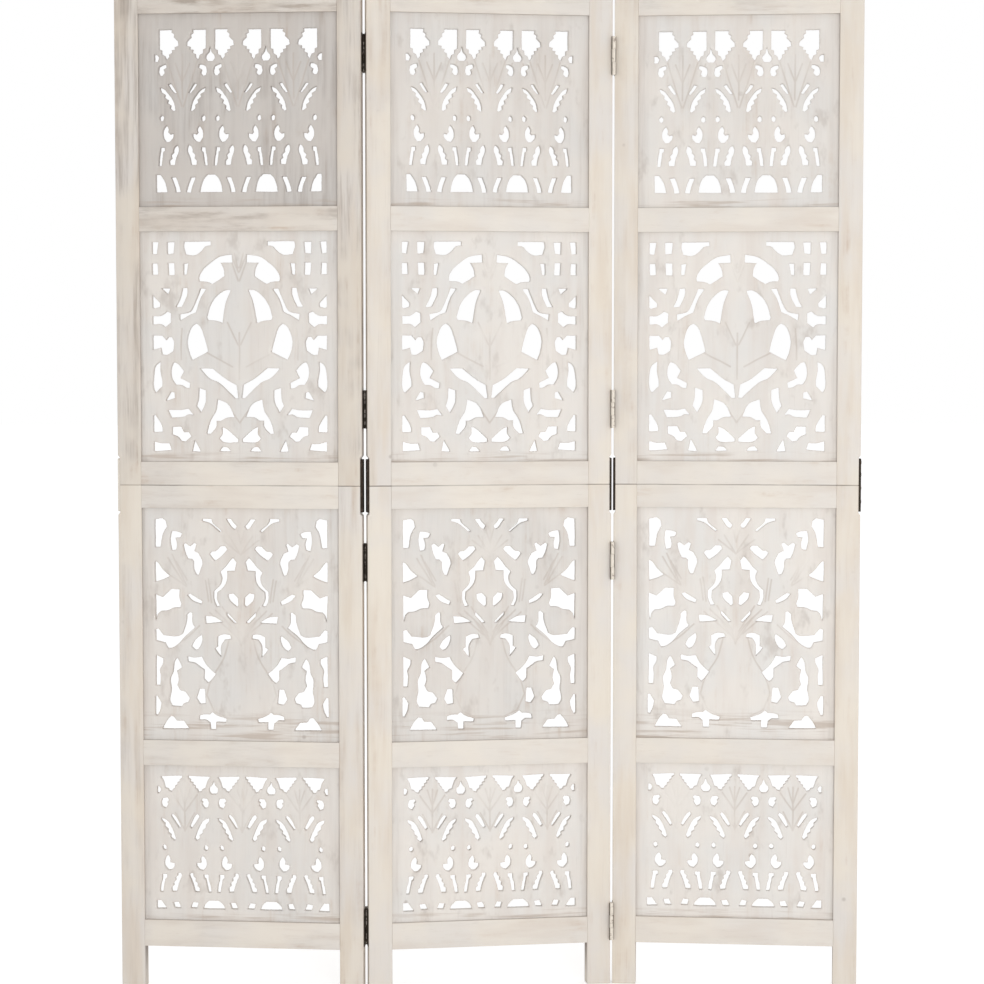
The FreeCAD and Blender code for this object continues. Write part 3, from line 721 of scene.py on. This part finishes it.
def knuckle(shape, across, depth, foot, head, sides=32):
    """An upright knuckle with eased ends, bored for the pin."""
    outside, slope = knuckle_radius - knuckle_easing, knuckle_easing * 0.3
    profile = [(pin_bore, foot), (outside, foot), (knuckle_radius - slope, foot + slope),
               (knuckle_radius, foot + knuckle_easing), (knuckle_radius, head - knuckle_easing),
               (knuckle_radius - slope, head - slope), (outside, head), (pin_bore, head)]
    rings = []
    for side in range(sides):
        angle = 2 * math.pi * side / sides
        rings.append([shape.verts.new((across + radius * math.cos(angle), depth + radius * math.sin(angle),
                                       up)) for radius, up in profile])
    for side in range(sides):
        ring, following = rings[side], rings[(side + 1) % sides]
        for place in range(len(profile)):
            after = (place + 1) % len(profile)
            shape.faces.new((ring[place], following[place], following[after], ring[after]))


def steel_mesh(shape, name, place):
    bmesh.ops.recalc_face_normals(shape, faces=shape.faces)
    mesh = bpy.data.meshes.new(name)
    shape.to_mesh(mesh)
    shape.free()
    mesh.transform(place)
    shade_by_angle(mesh, steel_edge)
    return mesh


def set_plates(column, material):
    """The two joining plates of a column, let into the edges of its stiles, with their screws."""
    heights = centre_screw_heights if column == "centre" else side_screw_heights
    shape = bmesh.new()
    for edge, side in ((-1, "left"), (1, "right")):
        outer = column == side
        surface = edge * column_width / 2
        floor = surface - edge * notch_depth
        corners = rounded_corners((-plate_width / 2, seam_height - plate_length / 2),
                                  (plate_width / 2, seam_height + plate_length / 2), plate_corner)
        flat_bar(shape, floor, floor + edge * (plate_thickness + plate_proud), corners, plate_easing)
        spots = [(surface + edge * (plate_proud - head_sinking), 0, seam_height + height)
                 for height in heights]
        screws = set_screws(f"{column}_{side}_plate_screws", column, spots, edge, plate_screw_radius,
                            outer_head_height if outer else facing_head_height, material)
        washed_over = outer and side == "left"
        spread(screws.data, "painted", [float(washed_over)] * len(screws.data.vertices))
    mesh = steel_mesh(shape, column + "_plates", column_place(column))
    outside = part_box(column + "_top_rail")[0].x
    spread(mesh, "painted", [float(column == "left" and vertex.co.x < outside) for vertex in mesh.vertices])
    plates = new_piece(column + "_plates", mesh, column + "_column", material)
    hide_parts(column + "_joining_plates")


def hinge_heights():
    """Middles of the four hinges of a joint, from the pins' own solids."""
    heights = sorted({round(vertex.co.z, 5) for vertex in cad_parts["left_joint_pins"].data.vertices})
    return [(foot + head) / 2 for foot, head in zip(heights[::2], heights[1::2])]


def set_leaves(node, column, edge, face, knuckles, material):
    """The four leaves on one edge of a column, with their knuckles and screws."""
    axis_across = edge * (column_width + column_gap) / 2
    axis_depth = face * (frame_thickness / 2 + pin_offset)
    far = face * (frame_thickness / 2 - leaf_width)
    near = axis_depth - face * (knuckle_radius + knuckle_gap)
    root = axis_depth - face * (knuckle_radius + pin_bore) / 2
    surface = edge * column_width / 2
    outside = surface + edge * leaf_thickness
    low, high = sorted((far, near))
    rounded_ends = (far < near, far > near, far > near, far < near)
    shape = bmesh.new()
    spots = []
    for middle in hinge_heights():
        corners = rounded_corners((low, middle - hinge_length / 2), (high, middle + hinge_length / 2),
                                  leaf_corner, rounded_ends)
        flat_bar(shape, surface, outside, corners, leaf_easing)
        for number in knuckles:
            centre = middle + number * (knuckle_length + knuckle_gap)
            foot, head = centre - knuckle_length / 2, centre + knuckle_length / 2
            knuckle(shape, axis_across, axis_depth, foot, head)
            start, end = sorted((near - face * tongue_overlap, root))
            flat_bar(shape, surface, outside, [(start, foot), (end, foot), (end, head), (start, head)],
                     tongue_easing)
        for height, inset in zip(leaf_screw_heights, leaf_inset_shares):
            spots.append((outside, far + (near - far) * inset, middle + height))
    place = column_place(column)
    mesh = steel_mesh(shape, node + "_steel", place)
    upright = place.inverted()
    # Painted shade: full on the leaves, which lie in the gap, and on each knuckle rising towards its sides.
    hinge_shade_share = []
    for vertex in mesh.vertices:
        spot = upright @ vertex.co
        on_leaf = spot.y * face < frame_thickness / 2
        hinge_shade_share.append(1.0 if on_leaf else abs(spot.x - axis_across) / knuckle_radius)
    spread(mesh, "hinge_shade_share", hinge_shade_share)
    leaves = new_piece(node + "_steel", mesh, column + "_column", material)
    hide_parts(node)
    screws = set_screws(node + "_screws", column, spots, edge, leaf_screw_radius, leaf_head_height, material)


# Finishes.

def colour(red, green, blue):
    """A colour as it is seen on a screen, as light."""
    return tuple(((part / 255 + 0.055) / 1.055) ** 2.4 for part in (red, green, blue)) + (1,)


worn_grain = colour(206, 184, 164)
dark_fibre = colour(168, 152, 140)
dull_carving = colour(166, 158, 152)
dull_frame = colour(168, 156, 145)
brown_speck = colour(120, 98, 82)
vein_grime = colour(188, 174, 163)
rubbed_grey = colour(192, 183, 175)
border_grey = colour(186, 179, 172)
foot_brown = colour(182, 165, 150)
# Painted shade, in the crevices beside the boards and along the seam between the frames.
crevice_painted_shade = colour(128, 113, 101)
seam_painted_shade = colour(104, 90, 78)
# Painted shade on the hinge leaves in the gap and on the sides of the knuckles.
hinge_painted_shade = colour(84, 74, 64)
brushed_over = colour(224, 217, 207)


class Finish(Tree):
    """Short ways to add the nodes of one material."""

    def __init__(self, name):
        self.material = bpy.data.materials.new(name)
        self.material.use_nodes = True
        self.material.node_tree.nodes.clear()
        super().__init__(self.material.node_tree)

    def done(self, inputs):
        """The material, with its shader's inputs."""
        shader = self.node("ShaderNodeBsdfPrincipled", inputs)
        self.node("ShaderNodeOutputMaterial", {0: shader.outputs[0]})
        return self.material

    def place(self, scale):
        """Object coordinates, stretched by a scale."""
        here = self.node("ShaderNodeTexCoord").outputs["Object"]
        return self.node("ShaderNodeMapping", {"Vector": here, "Scale": scale}).outputs[0]

    def attribute(self, name):
        return self.node("ShaderNodeAttribute", attribute_name=name).outputs["Fac"]

    def times(self, first, second, clamp=False):
        return self.maths("MULTIPLY", first, second, clamp)

    def plus(self, first, second):
        return self.maths("ADD", first, second)

    def noise(self, vector, size, detail, rough, own=0.0):
        inputs = {"Vector": vector, "W": own, "Scale": size, "Detail": detail, "Roughness": rough}
        return self.node("ShaderNodeTexNoise", inputs, noise_dimensions="4D").outputs["Fac"]

    def between(self, source, low, high, to_low=0.0, to_high=1.0):
        inputs = {"Value": source, "From Min": low, "From Max": high, "To Min": to_low, "To Max": to_high}
        return self.node("ShaderNodeMapRange", inputs, interpolation_type="SMOOTHSTEP").outputs["Result"]

    def mix(self, share, first, second):
        inputs = {"Factor": share, "A": first, "B": second}
        return self.node("ShaderNodeMix", inputs, data_type="RGBA").outputs["Result"]

    def bump(self, height, distance, strength, under=None):
        inputs = {"Height": height, "Distance": distance, "Strength": strength}
        if under is not None:
            inputs["Normal"] = under
        return self.node("ShaderNodeBump", inputs).outputs[0]


def carving_dirt(finish, tone, own, streaks, clouds):
    """Grime in the cut lines, grey smudges, a duller border and brown grain at the foot."""
    cut = finish.between(finish.attribute("hollow"), 0.1, 1.0)
    grime = finish.times(cut, finish.between(clouds, 0.36, 0.62, 0.0, 0.5), clamp=True)
    tone = finish.mix(grime, tone, vein_grime)
    rubbed = finish.noise(finish.place((38.0, 38.0, 20.0)), 1.0, 3, 0.6, own)
    tone = finish.mix(finish.between(rubbed, 0.56, 0.74, 0.0, 0.55), tone, rubbed_grey)
    border = finish.times(finish.attribute("border"), finish.between(streaks, 0.4, 0.62, 0.05, 0.35))
    tone = finish.mix(border, tone, border_grey)
    crossing = finish.noise(finish.place((7.0, 7.0, 130.0)), 1.0, 3, 0.6, own)
    lines = finish.times(finish.attribute("foot"), finish.between(crossing, 0.48, 0.64, 0.0, 0.6))
    return finish.mix(lines, tone, foot_brown)


def frame_painted_shade(finish, tone, even, clouds):
    """Painted shade in the crevices beside the boards and along the seam between the two frames, where the
    gaps would be in shadow.
    """
    # Painted shade on the frame faces that reach down to the board.
    cut = finish.between(finish.attribute("hollow"), 0.1, 1.0)
    tone = finish.mix(finish.times(cut, 0.7), tone, crevice_painted_shade)
    # Painted shade along the seam between the upper and lower frames, mottled by the clouds.
    height = finish.node("ShaderNodeSeparateXYZ", {0: even}).outputs["Z"]
    from_seam = finish.maths("ABSOLUTE", finish.maths("SUBTRACT", height, seam_height), 0)
    near = finish.between(from_seam, 0.0004, 0.0012, 1.0, 0.0)
    return finish.mix(finish.times(near, finish.between(clouds, 0.38, 0.62, 0.25, 0.75)), tone, seam_painted_shade)


def whitewash(name, along, paint, cool_paint, bare_wood, bare_share, carved):
    """Thin white paint dragged along the grain, which follows one axis, and worn to the wood in places."""
    finish = Finish(name)
    own = finish.attribute("own_grain")
    greyed = finish.attribute("greyed")
    even = finish.place((1, 1, 1))

    def drawn_out(lengthwise, across, detail, rough):
        stretched = finish.place(tuple(lengthwise if axis == along else across for axis in range(3)))
        return finish.noise(stretched, 1.0, detail, rough, own)

    strokes = drawn_out(5.0, 34.0, 3, 0.55)
    streaks = drawn_out(4.0, 75.0, 5, 0.65)
    fibres = drawn_out(12.0, 420.0, 3, 0.6)
    clouds = finish.noise(even, 8.0, 3, 0.55, own)
    patches = finish.noise(even, 24.0, 4, 0.62, own)

    tone = finish.mix(finish.between(clouds, 0.34, 0.68), paint, cool_paint)
    tone = finish.mix(finish.between(strokes, 0.42, 0.72, 0.0, 0.65), tone, bare_wood)
    thin = finish.times(finish.between(streaks, 0.5, 0.76), finish.between(patches, 0.42, 0.7))
    tone = finish.mix(finish.times(thin, finish.plus(greyed, bare_share), clamp=True), tone, worn_grain)
    tone = finish.mix(finish.between(fibres, 0.56, 0.8, 0.0, 0.14), tone, dark_fibre)
    smear = finish.times(finish.between(streaks, 0.42, 0.66), finish.between(clouds, 0.38, 0.6))
    if carved:
        smear = finish.plus(finish.times(smear, 0.3), 0.2)
    dull = finish.times(greyed, finish.plus(smear, 0.28), clamp=True)
    tone = finish.mix(dull, tone, dull_carving if carved else dull_frame)
    specks = finish.node("ShaderNodeTexVoronoi", {"Vector": even, "Scale": 13.0})
    speck = finish.between(specks.outputs["Distance"], 0.03, 0.07, 0.4, 0.0)
    tone = finish.mix(finish.times(speck, finish.between(clouds, 0.5, 0.62)), tone, brown_speck)
    if carved:
        tone = carving_dirt(finish, tone, own, streaks, clouds)
    else:
        tone = frame_painted_shade(finish, tone, even, clouds)
    grain = finish.bump(streaks, 0.0006, 0.35, finish.bump(fibres, 0.0003, 0.35))
    return finish.done({"Base Color": tone, "Roughness": finish.between(patches, 0.3, 0.7, 0.58, 0.8),
                        "Normal": grain, "Specular IOR Level": 0.35})


def metal(name, worn, paint, paint_share, roughness, shine):
    """Steel under the remains of paint, with painted shade on the hinge leaves in the gap and on the sides of
    the knuckles.
    """
    finish = Finish(name)
    even = finish.place((1, 1, 1))
    patches = finish.noise(even, 160.0, 4, 0.6)
    fine = finish.noise(even, 900.0, 2, 0.5)
    left_on = finish.between(patches, 0.62 - 0.3 * paint_share, 0.72 - 0.3 * paint_share)
    tone = finish.mix(left_on, worn, paint)
    # Painted shade on the hinge leaves and the knuckles' sides.
    tone = finish.mix(finish.between(finish.attribute("hinge_shade_share"), 0.6, 0.92), tone, hinge_painted_shade)
    tone = finish.mix(finish.attribute("painted"), tone, brushed_over)
    return finish.done({"Base Color": tone, "Metallic": shine, "Specular IOR Level": shine,
                        "Roughness": finish.between(fine, 0.3, 0.7, roughness - 0.1, roughness + 0.1),
                        "Normal": finish.bump(fine, 0.0002, 0.3)})


upright_wood = whitewash("upright_whitewash", 2, colour(233, 224, 211), colour(227, 221, 215),
                         colour(222, 208, 191), 0.7, False)
cross_wood = whitewash("cross_whitewash", 0, colour(234, 226, 215), colour(228, 222, 215),
                       colour(220, 209, 198), 0.7, False)
board_wood = whitewash("carved_whitewash", 2, colour(235, 229, 222), colour(229, 226, 222),
                       colour(224, 215, 207), 0.4, True)
black_steel = metal("black_steel", colour(72, 60, 50), colour(48, 39, 31), 0.8, 0.6, 0.15)
dark_hinge_steel = metal("dark_hinge_steel", colour(92, 80, 68), colour(222, 212, 200), 0.42, 0.45, 0.3)
washed_hinge_steel = metal("washed_hinge_steel", colour(176, 164, 152), colour(226, 218, 206), 0.95, 0.6, 0.3)


# The three columns.

columns = ("left", "centre", "right")
members = ("upper_left_stile", "upper_right_stile", "lower_left_stile", "lower_right_stile", "top_rail",
           "upper_mid_rail", "upper_seam_rail", "lower_seam_rail", "lower_mid_rail", "bottom_rail")

openings = {
    "tall_bud_frieze": ("upper_mid_rail", "top_rail",
                        frieze(tall_bud_shares, tall_between_shares, tall_end_shares, tall_pitch_share),
                        frieze(tall_vein_shares, tall_between_vein_shares, [], tall_pitch_share)),
    "arch_board": ("upper_seam_rail", "upper_mid_rail", both_sides(arch_shares),
                   both_sides(arch_vein_shares)),
    "vase_board": ("lower_mid_rail", "lower_seam_rail", both_sides(vase_shares),
                   both_sides(vase_vein_shares)),
    "short_bud_frieze": ("bottom_rail", "lower_mid_rail",
                         frieze(short_bud_shares, short_between_shares, short_end_shares,
                                short_pitch_share),
                         frieze(short_vein_shares, [], [], short_pitch_share)),
}
# How far the paint has gone grey: on the left column most, and on its upper frame above all. The boards
# are in the order of the openings.
greyed_boards = {"left": (1.0, 0.22, 0.24, 0.2), "centre": (0.35, 0.1, 0.3, 0.05),
                 "right": (0.2, 0.06, 0.02, 0.02)}
greyed_frames = {"left": 0.16, "centre": 0.02, "right": 0.02}
greyed_members = {"left_upper_left_stile": 0.7, "left_upper_right_stile": 0.7, "left_upper_mid_rail": 0.6,
                  "left_top_rail": 0.75, "left_lower_left_stile": 0.25, "centre_top_rail": 0.2,
                  "right_top_rail": 0.2, "centre_upper_left_stile": 0.12, "right_upper_left_stile": 0.1}
seed = 1
for number, (node, (rail_below, rail_above, holes, veins)) in enumerate(openings.items()):
    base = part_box("centre_" + rail_below)[1].z
    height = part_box("centre_" + rail_above)[0].z - base
    design = carved_board(holes, veins, height)
    for column in columns:
        set_board(design, column, node, base, seed, greyed_boards[column][number])
        seed += 1

for column in columns:
    for member in members:
        node = f"{column}_{member}"
        mesh = eased(node)
        own_look(mesh, seed, greyed_members.get(node, greyed_frames[column]))
        seed += 1
        piece = new_piece(node + "_eased", mesh, column + "_column",
                          upright_wood if "stile" in member else cross_wood)
        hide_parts(node)
    set_plates(column, black_steel)

for outer, side, face, hinge_steel in (("left", -1, 1, dark_hinge_steel),
                                       ("right", 1, -1, washed_hinge_steel)):
    set_leaves(f"{outer}_joint_centre_leaves", "centre", side, face, (-1, 1), hinge_steel)
    set_leaves(f"{outer}_joint_{outer}_leaves", outer, -side, face, (0,), hinge_steel)
    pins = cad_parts[outer + "_joint_pins"].data
    pins.materials.clear()
    pins.materials.append(hinge_steel)


# Floor, light and camera.

def plain_floor(side, glow):
    mesh = bpy.data.meshes.new("floor")
    mesh.from_pydata([(-side, -side, 0), (side, -side, 0), (side, side, 0), (-side, side, 0)], [],
                     [(0, 1, 2, 3)])
    floor = bpy.data.objects.new("floor", mesh)
    bpy.context.scene.collection.objects.link(floor)
    finish = Finish("pale_floor")
    mesh.materials.append(finish.done({
        "Base Color": (0.9, 0.9, 0.9, 1), "Roughness": 1, "Specular IOR Level": 0,
        "Emission Color": (1, 1, 1, 1), "Emission Strength": finish.times(finish.sees_background(), glow)}))


def white_world(strength):
    world = bpy.data.worlds.new("studio")
    bpy.context.scene.world = world
    world.use_nodes = True
    world.node_tree.nodes.clear()
    tree = Tree(world.node_tree)
    level = tree.node("ShaderNodeMapRange",
                      {"Value": tree.sees_background(), "To Min": strength, "To Max": 1})
    backdrop = tree.node("ShaderNodeBackground",
                         {"Color": (1, 1, 1, 1), "Strength": level.outputs["Result"]})
    tree.node("ShaderNodeOutputWorld", {0: backdrop.outputs[0]})


def soft_lamp(name, place, target, size, power):
    data = bpy.data.lights.new(name, "AREA")
    data.shape = "DISK"
    data.size = size
    data.energy = power
    lamp = bpy.data.objects.new(name, data)
    bpy.context.scene.collection.objects.link(lamp)
    lamp.location = place
    lamp.rotation_euler = (Vector(target) - Vector(place)).to_track_quat("-Z", "Y").to_euler()


def set_camera(place, turn, tilt, focal_pixels, picture_pixels):
    """A level camera, turned and tilted by degrees, its focal length as the photo gives it."""
    data = bpy.data.cameras.new("camera")
    data.sensor_width = 36
    data.lens = focal_pixels / picture_pixels * data.sensor_width
    camera = bpy.data.objects.new("camera", data)
    bpy.context.scene.collection.objects.link(camera)
    camera.matrix_world = (Matrix.Translation(place) @ Matrix.Rotation(math.radians(turn), 4, "Z")
                           @ Matrix.Rotation(math.radians(90 + tilt), 4, "X"))
    bpy.context.scene.camera = camera


plain_floor(30, 0.42)
white_world(0.725)
soft_lamp("front_lamp", (0.8, -4.4, 0.6), (0, 0, 0.3), 1.8, 66)
set_camera((-0.1115, -4.0, 1.0477), -1.659, -3.325, 2463.0, 984)
bpy.context.scene.view_settings.view_transform = "Standard"
